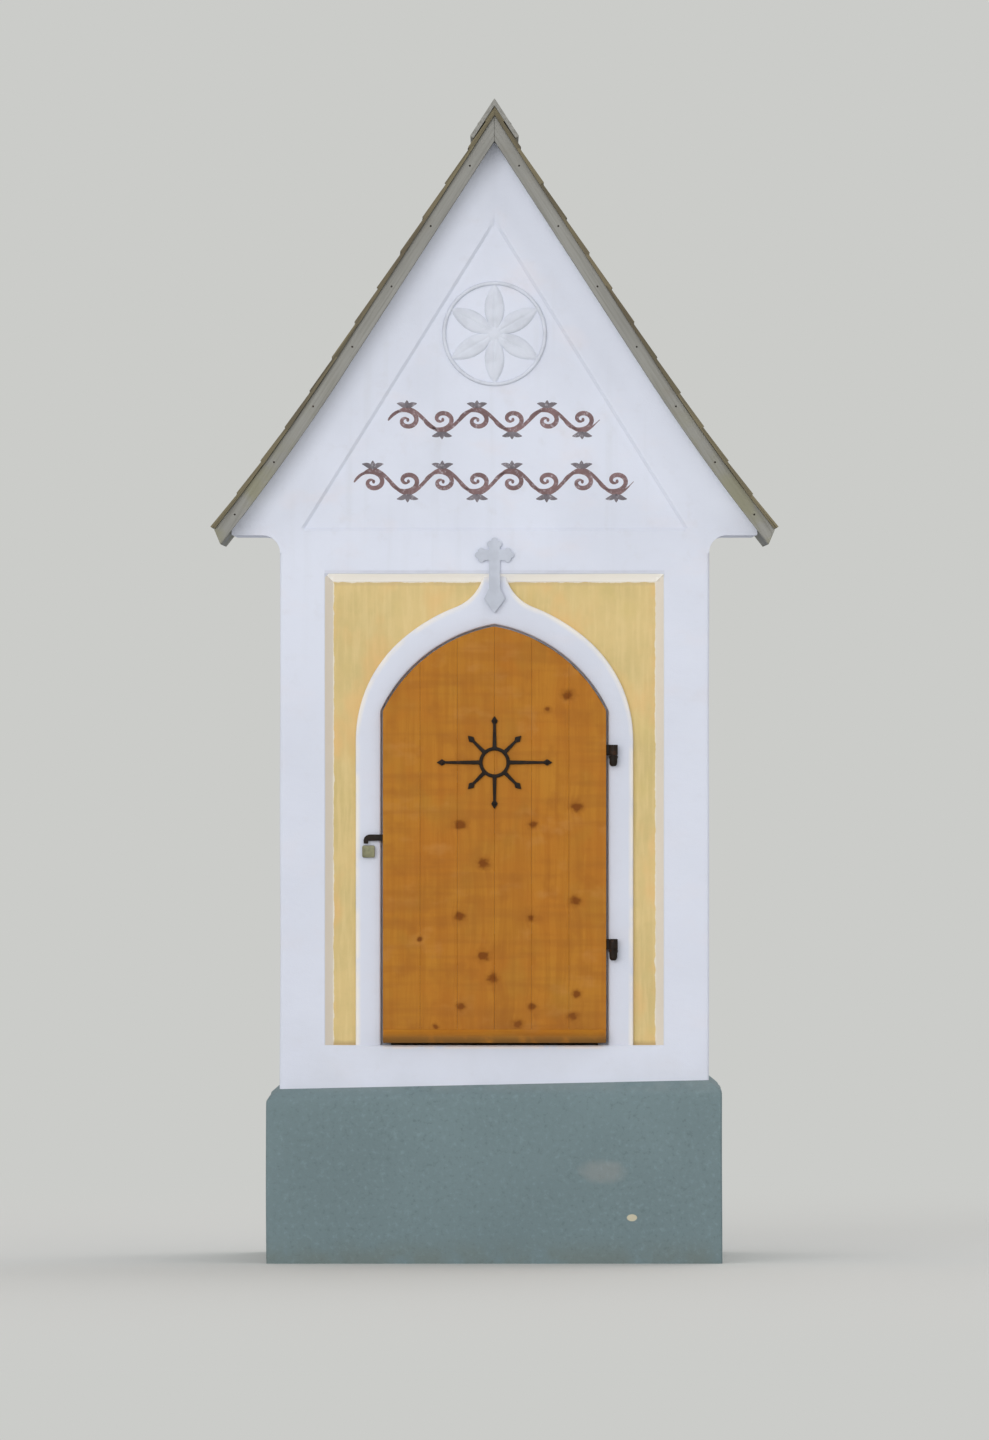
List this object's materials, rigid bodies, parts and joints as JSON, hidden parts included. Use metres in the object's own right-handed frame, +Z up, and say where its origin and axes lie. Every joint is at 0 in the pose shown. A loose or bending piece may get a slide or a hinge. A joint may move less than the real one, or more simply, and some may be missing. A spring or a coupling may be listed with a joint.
{
  "type": "wayside shrine",
  "caption": "Small masonry shrine on a plinth: a doored arched niche in an ogee surround, a steep gable, coved eaves and a flared shingle roof.",
  "frame": {"origin": "middle of the base at ground level", "axes": "+Z up; -Y out of the front, where the door is; +X to the right of someone who faces it"},
  "size_m": [1.61, 1.244, 3.3213],
  "materials": {
    "plinth_render": "matte",
    "white_render": "matte",
    "floor_stone": "matte",
    "ochre_render": "matte",
    "grey_render": "matte",
    "door_pine": "satin",
    "roof_timber": "matte",
    "shingles": "matte",
    "black_iron": "matte",
    "zinc_steel": "satin"
  },
  "bodies": {
    "masonry": {"plinth": "plinth_render", "floor_course": "white_render", "back_wall": "white_render", "niche_vault": "white_render", "side_wall_left": "white_render", "side_wall_right": "white_render", "lintel": "white_render", "bottom_rail": "white_render", "pilaster_left": "white_render", "pilaster_right": "white_render", "arch_surround": "white_render", "gable_wall_front": "white_render", "gable_wall_back": "white_render", "rake_band": "white_render", "gable_rosette": "white_render", "eaves_cornice_left": "white_render", "eaves_cornice_right": "white_render", "niche_floor": "floor_stone", "panel_left": "ochre_render", "panel_right": "ochre_render", "cross": "grey_render", "roof_boards_left": "roof_timber", "roof_boards_right": "roof_timber", "bargeboard_front_left": "roof_timber", "bargeboard_front_right": "roof_timber", "bargeboard_back_left": "roof_timber", "bargeboard_back_right": "roof_timber", "ridge_cap": "roof_timber", "roof_shingles_left": "shingles", "roof_shingles_right": "shingles", "pintle_upper": "black_iron", "pintle_lower": "black_iron", "latch_keeper": "zinc_steel"},
    "door": {"door_leaf": "door_pine", "door_weatherboard": "door_pine", "door_brace": "door_pine", "door_ledge_upper": "door_pine", "door_ledge_lower": "door_pine", "door_sun": "black_iron", "latch_bar": "black_iron", "hinge_eye_upper": "black_iron", "hinge_eye_lower": "black_iron"}
  },
  "joints": [
    {"name": "door_swing", "type": "hinge", "parent": "masonry", "child": "door", "pos_m": [0.339, -0.5395, 1.172], "axis": [0, 0, 1], "range_deg": [0, 120]}
  ]
}
